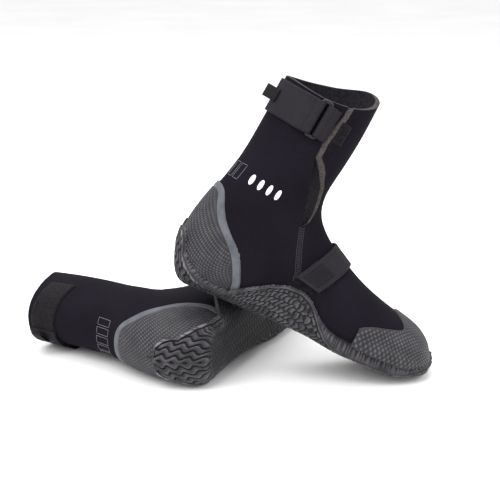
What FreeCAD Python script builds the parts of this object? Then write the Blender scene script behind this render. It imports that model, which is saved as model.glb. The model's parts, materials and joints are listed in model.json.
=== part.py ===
"""A pair of neoprene water boots: the left one lies on its outer side, the right one leans on it, toe on the ground.

Both boots come from one design, drawn as a right boot in its own frame (mm): X runs from heel to toe, Y to the
inner side of the foot, Z up from the ground that the sole stands on.
"""
import FreeCAD, Part
import math
import os

Vector = FreeCAD.Vector

# ---- driving dimensions ----
NEOPRENE = 5.0            # wall of the boot
CAP = 1.9                 # rubber heel and toe caps
TRIM = 2.4                # edge strip of the heel cap
FOXING = 5.2              # rubber sidewall outside the neoprene
SOLE_UNDER = 12.0         # rubber and foam below the neoprene, before the ground line trims it
WEBBING = 1.7             # strap thickness
PAD = 0.9                 # loop and hook pads
REST_GAP = 0.6            # free gap under a strap that peels off
CUFF_STRAP_WIDTH = 36.0
RING_BAR = 3.4            # plastic ring round the cuff strap
RING_LENGTH = 14.0
RING_HEIGHT = 42.0
RING_LEVEL = 2.9          # under face of the ring above the neoprene
TAB_LENGTH = 20.0         # pull tab on the end of the cuff strap
TAB_WIDTH = 12.0

ANKLE_X = 66.0            # line that the soft shaft bends about
ANKLE_Z = 116.0
BEND_GAP_DEG = 14.0       # free angle between foot and shaft, front and back
BEND_APEX = 1.0           # gap left between them at the line itself

LEAN_YAW = 0.77           # right boot: turn, nose-down pitch and roll
LEAN_PITCH = 22.71
LEAN_ROLL = -6.1
LEAN_PLACE = Vector(-53.9, -74.2, 109.0)
LIE_YAW = 64.89           # left boot: lies on its outer side
LIE_PITCH = -5.37
LIE_ROLL = -88.89
LIE_PLACE = Vector(-17.4, -135.9, 34.77)

WIDE = 90.0               # half length of every side-view cutter
HALF_POINTS = 12          # steps round half a section

# ---- the boot's outer surface, as sections fanned from the toe, round the ankle, up to the cuff ----
# front or top point (x, z), back or bottom point (x, z), half width, middle line's y,
# height of the widest line as a share, roundness of the upper and of the lower half
SECTIONS = [
    (286.0, 18.0, 286.0, 18.0, 0.8, 8.0, 0.45, 2.0, 2.2),      # tip of the toe
    (284.0, 27.0, 284.0, 12.0, 18.0, 8.0, 0.42, 2.0, 2.4),
    (278.0, 36.0, 278.0, 9.5, 32.0, 7.0, 0.38, 2.1, 2.8),
    (265.0, 45.0, 265.0, 9.0, 42.0, 5.0, 0.35, 2.1, 3.2),
    (240.0, 53.0, 240.0, 9.0, 48.0, 1.0, 0.33, 2.1, 3.6),      # little toe
    (210.0, 62.0, 210.0, 9.0, 49.0, -1.0, 0.32, 2.1, 3.6),     # ball of the foot
    (181.0, 74.0, 170.0, 9.0, 45.0, -2.0, 0.32, 2.0, 3.4),
    (156.0, 88.0, 128.0, 9.0, 39.0, -1.0, 0.34, 1.95, 3.2),    # waist
    (139.0, 99.0, 84.0, 9.0, 35.5, 0.0, 0.36, 2.0, 3.0),
    (129.0, 108.0, 38.0, 9.0, 36.0, 0.0, 0.38, 2.1, 3.0),      # instep to heel
    (122.0, 117.0, 8.0, 14.0, 37.0, 0.0, 0.40, 2.1, 2.8),
    (118.0, 126.0, -5.5, 36.0, 37.0, 0.0, 0.42, 2.1, 2.4),     # back of the heel
    (116.0, 137.0, -6.5, 64.0, 37.0, 0.0, 0.45, 2.1, 2.2),
    (117.0, 153.0, 2.0, 97.0, 37.5, 0.0, 0.5, 2.1, 2.1),
    (122.0, 178.0, 16.0, 140.0, 38.5, 0.0, 0.5, 2.1, 2.1),     # above the ankle
    (127.0, 210.0, 24.0, 190.0, 39.0, 0.0, 0.5, 2.2, 2.2),
    (130.0, 246.0, 30.0, 240.0, 38.0, 0.0, 0.5, 2.3, 2.3),     # rim of the cuff
]
TOE_PUSH = (1.0, 0.8, 0.4)    # share of an offset that also moves the first sections forward
FIRST_INNER = 2               # the foot's hollow starts at this section
FIRST_BACK = 11               # from this section on, the lower point is the back of the heel
FIRST_STRAPPED = 3            # the straps and pads lie behind this section
PAST_RIM = Vector(3.0, 0, 30.0)     # a hollow runs on past the rim by this much
FLAT_SHARE = 0.13             # how much the lying boot's cuff is pressed flat
FLAT_START = 12               # first section that is pressed

# ---- side-view outlines (x, z) ----
SOLE_TOP = [(-20, 58), (-3, 57), (0, 46), (3, 34), (12, 26), (24, 20), (40, 16.5), (57, 16), (66, 21), (79, 29),
            (96, 38), (112, 42.5), (128, 42.5), (138, 38), (147, 31), (157, 23), (167, 17), (180, 13), (205, 11.5),
            (240, 11.5), (264, 12.5), (276, 15), (284, 19), (300, 20)]
SOLE_BOTTOM = [(300, 9), (280, 3), (255, -1.5), (225, -3), (190, -3), (140, -1), (90, 0), (10, 0), (-20, 2)]
TRIM_BACK = [(11, 106), (12, 94), (18, 79), (27, 69), (37, 60), (46, 49), (52, 37), (58, 22), (58, 0)]
TRIM_FRONT = [(67, 0), (66, 22), (60, 38), (54, 51), (46, 61), (36, 70), (27, 80), (20, 92), (16, 104), (12, 113)]
TOE_CAP_EDGE = [(181, -10), (184, 16), (190, 27), (198, 34), (210, 38), (228, 41), (245, 43.5), (242, 50),
                (232, 56), (219, 60.5), (205, 64)]
SLIT_FRONT = [(102, 104), (108, 110), (110, 121), (109, 134), (106, 149), (97, 163), (91, 170), (85, 176)]
SLIT_REAR = [(102, 104), (98, 117), (94, 139), (89, 160), (85, 176)]
FLAP_EDGE = [(85, 176), (86, 194), (90, 214), (95, 232), (99, 255)]
FOOT_SEAM = [(102, 104), (108, 82), (116, 58), (118, 30), (118, -20)]
INSTEP_TOP_EDGE = [(92, 20), (119, 59), (141, 88), (152, 112)]
INSTEP_LOW_EDGE = [(172, 92), (161, 77), (144, 45), (130, 20)]
INSTEP_END = [(100, 70), (119, 59), (144, 45), (170, 30)]
LOOP_PATCH = [(105, 37), (120, 58), (144, 45), (133, 37)]
FLAP_PATCH = [(92, 195), (102, 196), (105, 218), (96, 217)]
CUFF_BAND_FRONT = (74.0, 211.5)   # middle of the cuff strap at the ring
CUFF_BAND_BACK = (20.0, 218.5)    # and at the back of the cuff


def flattened(rows):
    """The same sections with the cuff pressed towards the outer side that the boot lies on."""
    last = len(rows) - 1
    out = []
    for i, row in enumerate(rows):
        share = max(0.0, (i - FLAT_START) / (last - FLAT_START)) * FLAT_SHARE
        width = row[4] * (1.0 - share)
        out.append(row[:4] + (width, row[5] - (row[4] - width)) + row[6:])
    return out


def section_wire(row, top, bottom, side, push):
    """One closed section, grown by top, bottom and side."""
    xf, zf, xb, zb, half, mid, share, round_top, round_low = row
    front = Vector(xf + push, 0, zf)
    back = Vector(xb + push, 0, zb)
    span = front - back
    height = max(span.Length, 0.001)
    along = span.normalize() if height > 1.0 else Vector(0, 0, 1)
    height = max(height, 1.2)
    middle = back + along * (share * height)
    halves = []
    for start in (0.0, math.pi):
        points = []
        for k in range(HALF_POINTS + 1):
            c = math.cos(start + math.pi * k / HALF_POINTS)
            s = math.sin(start + math.pi * k / HALF_POINTS)
            power = 2.0 / (round_top if start == 0.0 else round_low)
            reach = ((1 - share) * height + top) if start == 0.0 else (share * height + bottom)
            across = math.copysign(abs(c) ** power, c) * (half + side)
            up = math.copysign(abs(s) ** power, s) * reach
            points.append(middle + along * up + Vector(0, mid + across, 0))
        curve = Part.BSplineCurve()
        curve.interpolate(Points=points, Parameters=[k / HALF_POINTS for k in range(HALF_POINTS + 1)])
        halves.append(curve.toShape())
    return Part.Wire(halves)


def boot_form(rows, grow, under=None, first=0):
    """A solid with the boot's outer form grown by a distance; under sets the growth below the sole."""
    wires = []
    for i in range(first, len(rows)):
        push = grow * TOE_PUSH[i] if i < len(TOE_PUSH) else 0.0
        bottom = grow if under is None or i >= FIRST_BACK else under
        wires.append(section_wire(rows[i], grow, bottom, grow, push))
    if grow < 0:
        above = section_wire(rows[-1], grow, grow, grow, 0.0)
        above.translate(PAST_RIM)
        wires.append(above)
    return Part.makeLoft(wires, True, True)


def prism(outline, low=-WIDE, high=WIDE):
    """A side-view outline carried straight across from y = low to y = high."""
    points = [Vector(x, low, z) for x, z in outline]
    points.append(points[0])
    face = Part.Face(Part.makePolygon(points))
    return face.extrude(Vector(0, high - low, 0))


def shell(rows, outer, inner, first=FIRST_STRAPPED):
    """The layer between two growths of the boot's form, from one section upwards."""
    return boot_form(rows, outer, None, first).cut(boot_form(rows, inner, None, first))


def wedge_line(sign):
    """Edge of the foot (-1) or of the shaft (+1) at the ankle bend, from the back to the front."""
    reach = 110.0
    rise = reach * math.tan(math.radians(BEND_GAP_DEG / 2)) + BEND_APEX / 2
    return [(ANKLE_X - reach, ANKLE_Z + sign * rise), (ANKLE_X, ANKLE_Z + sign * BEND_APEX / 2),
            (ANKLE_X + reach, ANKLE_Z + sign * rise)]


def largest(shape):
    """The biggest solid of a shape, which drops crumbs left by a cut."""
    return max(shape.Solids, key=lambda s: s.Volume)


def cuff_band(x_from, x_to, low=-WIDE, high=WIDE, trim=0.0):
    """Side-view strip that the cuff strap follows, between two places along it."""
    run = Vector(CUFF_BAND_FRONT[0] - CUFF_BAND_BACK[0], 0, CUFF_BAND_FRONT[1] - CUFF_BAND_BACK[1]).normalize()
    up = Vector(-run.z, 0, run.x) * (CUFF_STRAP_WIDTH / 2 - trim)
    start = Vector(CUFF_BAND_FRONT[0], 0, CUFF_BAND_FRONT[1])
    a = start + run * ((x_from - start.x) / run.x)
    b = start + run * ((x_to - start.x) / run.x)
    return prism([(p.x, p.z) for p in (a - up, b - up, b + up, a + up)], low, high)


def sole_unit(rows, foot, region):
    """Outsole with its sidewall, the foam midsole let into it, and the insole inside the boot."""
    sole = boot_form(rows, FOXING, SOLE_UNDER).common(region).cut(foot)
    midsole = boot_form(rows, -9.0, -0.1, FIRST_INNER).common(prism([(18, 3.6), (262, 3.6), (262, 20), (18, 20)]))
    midsole.translate(Vector(0, 0, -5.4))
    midsole = midsole.common(prism([(18, 3.6), (262, 3.6), (262, 8.8), (18, 8.8)]))
    hollow = boot_form(rows, -NEOPRENE - 0.2, None, FIRST_INNER)
    insole = hollow.common(prism([(12, 5), (268, 5), (268, 18.5), (12, 18.5)]))
    return {"outsole": largest(sole.cut(midsole)), "midsole": largest(midsole), "insole": largest(insole)}


def upper_panels(rows, foot):
    """Neoprene panels of the foot and of the shaft, the rubber caps and the gusset behind the side slit."""
    wall = foot.cut(boot_form(rows, -NEOPRENE, None, FIRST_INNER))
    foot_top = wedge_line(-1)
    shaft_edge = wedge_line(1)
    foot_wall = wall.common(prism(foot_top + [(320, foot_top[-1][1]), (320, -30), (-44, -30)]))
    shaft_wall = wall.common(prism(shaft_edge + [(220, 300), (-44, 300)]))
    rear_side = prism(FOOT_SEAM + [(-50, -20), (-50, 140), (101, 140)])
    shaft_rear_side = prism(SLIT_REAR[::1] + FLAP_EDGE[1:] + [(99, 300), (-50, 300), (-50, 90), (102, 90)])
    lens = prism(SLIT_FRONT[:-1] + SLIT_REAR[:0:-1], -WIDE, 0.0)
    lens_skin = shell(rows, -1.5, -4.0, FIRST_INNER).common(lens).common(prism(shaft_edge + [(220, 300), (-44, 300)]))
    return {
        "quarter_panel": largest(foot_wall.common(rear_side)),
        "vamp_panel": largest(foot_wall.cut(rear_side)),
        "shaft_rear_panel": largest(shaft_wall.common(shaft_rear_side)),
        "shaft_front_panel": largest(shaft_wall.cut(shaft_rear_side).cut(lens)),
        "slit_gusset": largest(lens_skin),
    }


def caps(rows, foot, region):
    """Rubber toe cap, heel cap and the strip that edges the heel cap."""
    skin = boot_form(rows, CAP).cut(foot)
    strip = boot_form(rows, TRIM).cut(foot)
    toe = skin.common(prism(TOE_CAP_EDGE + [(205, 90), (320, 90), (320, -10)])).cut(region)
    heel = skin.common(prism(TRIM_BACK + [(-60, 0), (-60, 106)])).cut(region)
    trim = strip.common(prism(TRIM_BACK + TRIM_FRONT + [(-60, 113), (-60, 106)])).cut(region)
    return {"toe_cap": largest(toe), "heel_cap": largest(heel), "heel_trim": largest(trim)}


def ring():
    """Rectangular plastic ring that the cuff strap turns back through."""
    lean = math.degrees(math.atan2(CUFF_BAND_BACK[1] - CUFF_BAND_FRONT[1], CUFF_BAND_FRONT[0] - CUFF_BAND_BACK[0]))
    outer = Part.makeBox(RING_LENGTH, RING_BAR, RING_HEIGHT)
    window = Part.makeBox(RING_LENGTH - 2 * RING_BAR, RING_BAR * 3, RING_HEIGHT - 2 * RING_BAR)
    window.translate(Vector(RING_BAR, -RING_BAR, RING_BAR))
    frame = outer.cut(window)
    frame = frame.makeFillet(1.0, [e for e in frame.Edges if abs(e.CenterOfMass.y) < 0.01])
    frame.translate(Vector(-RING_LENGTH / 2, -RING_BAR, -RING_HEIGHT / 2))
    frame.rotate(Vector(0, 0, 0), Vector(0, 1, 0), lean)
    frame.translate(Vector(CUFF_BAND_FRONT[0] - 1.0, -38.6 - RING_LEVEL, CUFF_BAND_FRONT[1]))
    return frame


def cuff_closure(rows):
    """Strap, ring, pads and pull tab round the top of the shaft."""
    sewn = shell(rows, WEBBING + 0.1, 0.1).common(cuff_band(44, 69, high=0.0))
    pad = shell(rows, PAD, 0.0).common(cuff_band(10, 70, trim=1.5)).cut(cuff_band(43, 71, high=0.0))
    hook = shell(rows, PAD + REST_GAP + 1.0, PAD + REST_GAP).common(cuff_band(10, 40, high=-3.0, trim=3.0))
    level = PAD + REST_GAP + 1.0
    strap = shell(rows, level + WEBBING, level).common(cuff_band(10, 62.5, high=2.0))
    tether = shell(rows, RING_LEVEL - 0.8, 0.1).common(cuff_band(72, 84, high=0.0, trim=1.0))
    patch = shell(rows, 1.0, 0.0).common(prism(FLAP_PATCH, -WIDE, 0.0))
    tab = Part.makeBox(TAB_LENGTH, 2.4, TAB_WIDTH)
    tab.rotate(Vector(0, 0, 0), Vector(0, 0, 1), -52)
    tab.translate(Vector(12.6, -11.0, 213.0))
    tab = tab.cut(boot_form(rows, level + WEBBING))
    return {
        "cuff_strap_sewn_end": largest(sewn), "cuff_loop_pad": largest(pad), "cuff_hook_pad": largest(hook),
        "cuff_strap": largest(strap), "ring_webbing": largest(tether), "flap_patch": largest(patch),
        "cuff_pull_tab": largest(tab), "cuff_ring": ring(),
    }


def instep_closure(rows, region):
    """Strap over the instep: its inner half is fixed, its outer half peels off a loop patch."""
    low = PAD + REST_GAP + 0.6
    band = prism(INSTEP_TOP_EDGE + INSTEP_LOW_EDGE)
    layer = shell(rows, low + WEBBING, low).common(band)
    end = prism(INSTEP_END + [(170, 130), (100, 130)], -WIDE, -1.0)
    fixed = layer.common(prism([(60, 0), (200, 0), (200, 140), (60, 140)], 1.6, WIDE)).cut(region)
    flap = layer.common(end)
    hook_zone = prism([(119, 59), (144, 45), (154, 63), (129, 77)], -WIDE, -20.0)
    hook = shell(rows, low, PAD + REST_GAP).common(band).common(hook_zone)
    patch = shell(rows, PAD, 0.0).common(prism(LOOP_PATCH[:2] + [(129, 77), (154, 63)] + LOOP_PATCH[2:], -WIDE, 0.0))
    return {
        "instep_strap_base": largest(fixed), "instep_strap": largest(flap),
        "instep_hook_patch": largest(hook), "instep_loop_patch": largest(patch.cut(region)),
    }


def build_boot(rows):
    """All pieces of one boot, in the right boot's own frame."""
    foot = boot_form(rows, 0.0)
    region = prism(SOLE_TOP + SOLE_BOTTOM)
    pieces = {}
    pieces.update(sole_unit(rows, foot, region))
    pieces.update(upper_panels(rows, foot))
    pieces.update(caps(rows, foot, region))
    pieces.update(cuff_closure(rows))
    pieces.update(instep_closure(rows, region))
    return pieces


def place(shape, yaw, pitch, roll, where):
    """Turns a piece about the boot's own origin and puts it in the pair's frame."""
    placed = shape.copy()
    placed.Placement = FreeCAD.Placement(where, FreeCAD.Rotation(yaw, pitch, roll)).multiply(placed.Placement)
    return placed


def mirrored(shape):
    """The left boot's copy of a right boot's piece."""
    return shape.mirror(Vector(0, 0, 0), Vector(0, 1, 0))


def main():
    os.makedirs("parts", exist_ok=True)
    for name, shape in build_boot(SECTIONS).items():
        place(shape, LEAN_YAW, LEAN_PITCH, LEAN_ROLL, LEAN_PLACE).exportStep("parts/right_" + name + ".step")
    for name, shape in build_boot(flattened(SECTIONS)).items():
        lying = place(mirrored(shape), LIE_YAW, LIE_PITCH, LIE_ROLL, LIE_PLACE)
        lying.exportStep("parts/left_" + name + ".step")


main()
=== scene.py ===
"""Looks of a pair of neoprene water boots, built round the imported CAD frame.

Both boots are drawn as a right boot in its own frame (mm): X from heel to toe, Y to the inner side, Z up from
the ground that the sole stands on. Each is then put where the joints of its bodies say it is.
"""

import json
import math

import bmesh
import bpy
import numpy as np
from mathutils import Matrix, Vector


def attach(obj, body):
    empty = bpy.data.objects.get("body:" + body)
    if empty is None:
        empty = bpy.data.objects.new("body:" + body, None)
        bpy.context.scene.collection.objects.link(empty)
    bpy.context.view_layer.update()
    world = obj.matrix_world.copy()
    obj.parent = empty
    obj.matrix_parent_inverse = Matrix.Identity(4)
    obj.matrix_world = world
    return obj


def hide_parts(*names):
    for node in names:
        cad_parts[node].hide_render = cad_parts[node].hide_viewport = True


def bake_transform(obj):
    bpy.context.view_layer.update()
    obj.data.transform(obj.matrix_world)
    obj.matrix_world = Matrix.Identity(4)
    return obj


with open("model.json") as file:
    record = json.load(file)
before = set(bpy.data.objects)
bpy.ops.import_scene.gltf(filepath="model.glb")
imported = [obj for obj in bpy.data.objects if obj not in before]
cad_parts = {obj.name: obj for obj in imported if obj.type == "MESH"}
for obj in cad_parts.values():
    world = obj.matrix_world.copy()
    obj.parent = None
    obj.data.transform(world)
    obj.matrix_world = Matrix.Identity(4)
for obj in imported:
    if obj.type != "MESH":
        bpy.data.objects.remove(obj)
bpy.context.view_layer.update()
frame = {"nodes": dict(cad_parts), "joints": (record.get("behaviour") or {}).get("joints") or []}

# ---- sizes, mm, as in the CAD part ----
NEOPRENE = 5.0
CAP = 1.7
TRIM = 2.1
FOXING = 5.0
SOLE_UNDER = 12.0
BALL_DROP = 4.5           # how far the sole hangs lower under the ball of the foot
TOE_FLARE = 7.5           # how far the toe cap flares out over the sole
SEAM_HALF = 2.9           # half width of the flatlock seam
WEBBING = 1.7
PAD = 0.9
STRAP_LEVEL = 2.5
INSTEP_LEVEL = 2.1
CUFF_WIDTH = 36.0
RING_AT = (73.0, -43.2, 212.3)
RING_SIZE = (13.6, 41.6)
RING_BAR = 1.65
ANKLE = (66.0, 116.0)
BEND_FROM = (64.0, 0.0, 112.0)
BEND_TO = (69.0, 0.0, 142.0)
BAND_FRONT = np.array([74.0, 211.5])
BAND_BACK = np.array([20.0, 218.5])
RIM_DIP = 10.0
RIM_RISE = 11.0
OVER_FOOT = 0.462         # u of the section where the side seam meets the sole
WELD = 0.00002            # metres, distance at which points are joined
THREAD_ASIDE = (0.31, 0.83, 0.46)   # a direction that no thread runs along
TURN_SHARE = 0.955        # width of the webbing where it turns round the ring, as a share of the strap's
Y = np.array([0.0, 1.0, 0.0])

# u, front or top point, back or bottom point, half width, middle y, widest line's share, roundness above and
# below
STATIONS = [
    (0.00, 286, 18, 286, 18, 0.8, 8, 0.45, 2.0, 2.2), (0.03, 284, 27, 284, 12, 18, 8, 0.42, 2.0, 2.4),
    (0.07, 278, 36, 278, 9.5, 32, 7, 0.38, 2.1, 2.8), (0.12, 265, 45, 265, 9, 42, 5, 0.35, 2.1, 3.2),
    (0.19, 240, 53, 240, 9, 48, 1, 0.33, 2.1, 3.6), (0.27, 210, 62, 210, 9, 49, -1, 0.32, 2.1, 3.6),
    (0.36, 181, 74, 170, 9, 45, -2, 0.32, 2.0, 3.4), (0.44, 156, 88, 128, 9, 39, -1, 0.34, 1.95, 3.2),
    (0.52, 139, 99, 84, 9, 35.5, 0, 0.36, 2.0, 3.0), (0.58, 129, 108, 38, 9, 36, 0, 0.38, 2.1, 3.0),
    (0.63, 122, 117, 8, 14, 37, 0, 0.40, 2.1, 2.8), (0.67, 118, 126, -5.5, 36, 37, 0, 0.42, 2.1, 2.4),
    (0.72, 116, 137, -6.5, 64, 37, 0, 0.45, 2.1, 2.2), (0.78, 117, 153, 2, 97, 37.5, 0, 0.5, 2.1, 2.1),
    (0.85, 122, 178, 16, 140, 38.5, 0, 0.5, 2.1, 2.1), (0.92, 127, 210, 24, 190, 39, 0, 0.5, 2.2, 2.2),
    (1.00, 130, 246, 30, 240, 38, 0, 0.5, 2.3, 2.3),
]
FLAT_SHARE = 0.16
FLAT_START = 12

# side-view outlines (x, z)
SOLE_TOP = [(-20, 58), (-3, 57), (0, 46), (3, 34), (12, 26), (24, 20), (40, 16.5), (57, 16), (66, 21),
            (79, 29), (96, 38), (112, 42.5), (128, 42.5), (138, 38), (147, 31), (157, 23), (167, 17),
            (180, 13), (205, 11.5), (240, 11.5), (264, 12.5), (276, 15), (284, 19), (300, 20)]
SOLE_BOTTOM = [(-20, 2), (10, 0), (90, 0), (140, -1), (190, -3), (225, -3), (255, -1.5), (280, 3), (300, 9)]
TRIM_BACK = [(-60, 106), (11, 106), (12, 94), (18, 79), (27, 69), (37, 60), (46, 49), (52, 37), (58, 22),
             (58, 0), (-60, 0)]
TRIM_FRONT = [(-60, 113), (12, 113), (16, 104), (20, 92), (27, 80), (36, 70), (46, 61), (54, 51), (60, 38),
              (66, 22), (67, 0), (-60, 0)]
TOE_CAP = [(181, -10), (184, 16), (190, 27), (198, 34), (210, 38), (228, 41), (245, 43.5), (242, 50),
           (232, 56), (219, 60.5), (205, 64), (205, 120), (340, 120), (340, -10)]
SLIT_FRONT = [(102, 104), (108, 110), (110, 121), (109, 134), (106, 149), (97, 163), (91, 170), (85, 176)]
SLIT_REAR = [(102, 104), (98, 117), (94, 139), (89, 160), (85, 176)]
FLAP_EDGE = [(86, 194), (90, 214), (95, 232), (99, 262)]
FOOT_SEAM = [(118, -20), (118, 30), (116, 58), (108, 82)]
LOOP_PATCH = [(105, 36), (119, 58), (131, 80), (157, 66), (144, 44), (133, 36)]


def natural_second(x, y):
    """Second derivatives of the natural cubic spline through the stations."""
    n = len(x)
    a = np.eye(n)
    r = np.zeros_like(y)
    for i in range(1, n - 1):
        h0 = x[i] - x[i - 1]
        h1 = x[i + 1] - x[i]
        a[i, i - 1:i + 2] = (h0, 2 * (h0 + h1), h1)
        r[i] = 6 * ((y[i + 1] - y[i]) / h1 - (y[i] - y[i - 1]) / h0)
    return np.linalg.solve(a, r)


def spow(c, p):
    """Power that keeps the sign."""
    return np.sign(c) * np.abs(c) ** p


def smooth(x, low, high):
    """Rises smoothly from 0 at low to 1 at high."""
    t = np.clip((x - low) / (high - low), 0, 1)
    return t * t * (3 - 2 * t)


def spread(low, high, count):
    return np.linspace(low, high, count)


def unit(a):
    return a / np.maximum(np.linalg.norm(a, axis=-1, keepdims=True), 1e-9)


def arc(p):
    """Distance along a line of points."""
    return np.concatenate([[0], np.cumsum(np.linalg.norm(np.diff(p, axis=0), axis=1))])


def walk(points, length, s):
    """Points or directions at the distances s along a line whose own points lie at the distances length."""
    return np.stack([np.interp(s, length, points[:, i]) for i in range(3)], 1)


def height_at(outline, x):
    """Height z of a side-view line at each x."""
    return np.interp(x, [q[0] for q in outline], [q[1] for q in outline])


class Boot:
    """One boot: its form as a function of u (toe 0 to rim 1) and v (inner 0, front, outer pi, back)."""

    def __init__(self, side):
        self.side = side
        self.mirror = side == "left"
        rows = np.array(STATIONS, float)
        if self.mirror:
            last = len(rows) - 1
            for i, row in enumerate(rows):
                lost = row[5] * max(0.0, (i - FLAT_START) / (last - FLAT_START)) * FLAT_SHARE
                row[5] -= lost
                row[6] -= lost
        self.x = rows[:, 0]
        self.y = rows[:, 1:]
        self.m = natural_second(self.x, self.y)
        joints = {j["name"]: j for j in frame["joints"]}
        ankle = joints[side + "_ankle_bend"]
        peel = joints[side + "_cuff_strap_peel"]
        ey = np.array(ankle["axis"], float)
        ea = np.array(peel["axis"], float) * (-1 if self.mirror else 1)
        ec = np.cross(ey, ea)
        tilt, _ = cuff_band()
        local = np.stack([Y, tilt, np.cross(Y, tilt)], 1)
        self.r = np.stack([ey, ea, ec], 1) @ np.linalg.inv(local)
        self.t = np.array(ankle["pos_m"], float) - self.r @ (np.array([ANKLE[0], 0, ANKLE[1]]) / 1000)

    def at(self, u):
        """The stations' values at u, along natural cubic splines."""
        u = np.clip(np.asarray(u, float), 0, 1)
        i = np.clip(np.searchsorted(self.x, u, side="right") - 1, 0, len(self.x) - 2)
        h = self.x[i + 1] - self.x[i]
        a = ((self.x[i + 1] - u) / h)[..., None]
        b = ((u - self.x[i]) / h)[..., None]
        hh = (h ** 2)[..., None] / 6
        bend = (a ** 3 - a) * self.m[i] + (b ** 3 - b) * self.m[i + 1]
        return a * self.y[i] + b * self.y[i + 1] + bend * hh

    def surf(self, u, v, off=0.0, under=None):
        """Points of the form grown by off; under is the growth below the sole."""
        k = self.at(u)
        xf, zf, xb, zb, w, yc, tw, nt, nb = [k[..., i] for i in range(9)]
        dx = xf - xb
        dz = zf - zb
        h = np.maximum(np.hypot(dx, dz), 1.2)
        ex = np.where(h > 1.3, dx / h, 0.0)
        ez = np.where(h > 1.3, dz / h, 1.0)
        c = np.cos(v)
        s = np.sin(v)
        n = np.where(s >= 0, nt, nb)
        below = off if under is None else under * (1 - smooth(u, 0.60, 0.67)) + off * smooth(u, 0.60, 0.67)
        reach = np.where(s >= 0, (1 - tw) * h + off, tw * h + below)
        along = spow(s, 2 / n) * reach
        push = off * np.interp(u, (0, 0.03, 0.07, 0.12), (1, 0.8, 0.4, 0))
        x = xb + ex * (tw * h + along) + push
        z = zb + ez * (tw * h + along)
        y = yc + (w + off) * spow(c, 2 / n)
        turn = np.mod(v, 2 * np.pi)
        dip = np.exp(-((turn - 3.0) / 0.9) ** 2)
        rise = np.exp(-((np.mod(v - 0.95 + np.pi, 2 * np.pi) - np.pi) / 0.85) ** 2)
        return np.stack([x, y + 0 * z, z + (RIM_RISE * rise - RIM_DIP * dip) * smooth(u, 0.86, 1.0)], -1)

    def normal(self, u, v):
        """Outward direction of the form."""
        du = 0.004
        dv = 0.03
        a = self.surf(np.minimum(u + du, 1), v) - self.surf(np.maximum(u - du, 0), v)
        b = self.surf(u, v + dv) - self.surf(u, v - dv)
        return unit(np.cross(a, b))

    def world(self, p):
        """Points of the right boot's own frame, in metres where this boot lies."""
        q = np.array(p, float)
        if self.mirror:
            q = q * np.array([1, -1, 1])
        return q / 1000 @ self.r.T + self.t

    def line_v(self, outline, u, outer=True):
        """Angle v at which a side-view line crosses the section u, on the outer or the inner side."""
        pts = dense(outline)
        out = np.zeros(len(u))
        for j, row in enumerate(self.at(u)):
            xf, zf, xb, zb = row[:4]
            tw, nt, nb = row[6:]
            h = max(math.hypot(xf - xb, zf - zb), 1.2)
            ex, ez = ((xf - xb) / h, (zf - zb) / h) if h > 1.3 else (0.0, 1.0)
            side = (pts[:, 0] - xb) * ez - (pts[:, 1] - zb) * ex
            along = (pts[:, 0] - xb) * ex + (pts[:, 1] - zb) * ez
            hits = np.nonzero((side[:-1] * side[1:] <= 0) & (np.abs(side[:-1] - side[1:]) > 0))[0]
            near = [i for i in hits if -25 < along[i] < h + 25]
            a = along[near[0]] if near else (h if j else 0.0)
            f = (a - tw * h) / ((1 - tw) * h if a > tw * h else tw * h)
            f = np.clip(f, -1, 1)
            s = spow(f, (nt if f > 0 else nb) / 2)
            out[j] = math.pi - math.asin(s) if outer else math.asin(s)
        return out

    def solve_u(self, v, direction, target, low=0.3):
        """u where the column v of the form meets the plane direction . p = target."""
        u = np.linspace(low, 1.0, 500)
        d = np.array(direction, float)
        out = np.zeros(len(v))
        for j, (vj, tj) in enumerate(zip(v, target)):
            f = self.surf(u, np.full_like(u, vj)) @ d
            order = np.argsort(f)
            out[j] = np.interp(tj, f[order], u[order])
        return out


def dense(outline, step=0.6):
    """Points along the outline, closely spaced."""
    pts = np.array(outline, float)
    out = []
    for a, b in zip(pts[:-1], pts[1:]):
        n = max(2, int(np.linalg.norm(b - a) / step))
        out.append(a + (b - a) * np.linspace(0, 1, n, endpoint=False)[:, None])
    out.append(pts[-1:])
    return np.vstack(out)


def rounded(outline):
    """A closed outline as many points, its corners eased."""
    pts = dense(list(outline) + [outline[0]], 1.7)[:-1]
    for _ in range(3):
        pts = sum(np.roll(pts, k, 0) for k in range(-2, 3)) / 5
    return pts


def inside_distance(outline, p):
    """Signed side-view distance of points to an outline, positive inside."""
    pts = rounded(outline)
    q = p[..., [0, 2]].reshape(-1, 2)
    a = pts
    b = np.roll(pts, -1, 0)
    best = np.full(len(q), 1e9)
    wind = np.zeros(len(q), bool)
    for i in range(len(a)):
        e = b[i] - a[i]
        w = q - a[i]
        t = np.clip((w @ e) / max(e @ e, 1e-9), 0, 1)
        best = np.minimum(best, ((w - t[:, None] * e) ** 2).sum(1))
        cross = (a[i, 1] > q[:, 1]) != (b[i, 1] > q[:, 1])
        if cross.any():
            xx = e[0] * (q[:, 1] - a[i, 1]) / (e[1] if abs(e[1]) > 1e-12 else 1e-12) + a[i, 0]
            wind ^= cross & (q[:, 0] < xx)
    return (np.sqrt(best) * np.where(wind, 1, -1)).reshape(p.shape[:-1])


def on_skin(dist, p):
    """Side-view distance turned into distance along the skin."""
    du = np.gradient(p, axis=0)
    dv = np.gradient(p, axis=1)
    lu = np.maximum(np.linalg.norm(du, axis=-1), 1e-4)
    lv = np.maximum(np.linalg.norm(dv, axis=-1), 1e-4)
    g = np.hypot(np.gradient(dist, axis=0) / lu, np.gradient(dist, axis=1) / lv)
    return dist / np.clip(g, 0.12, 1.5)


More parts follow.
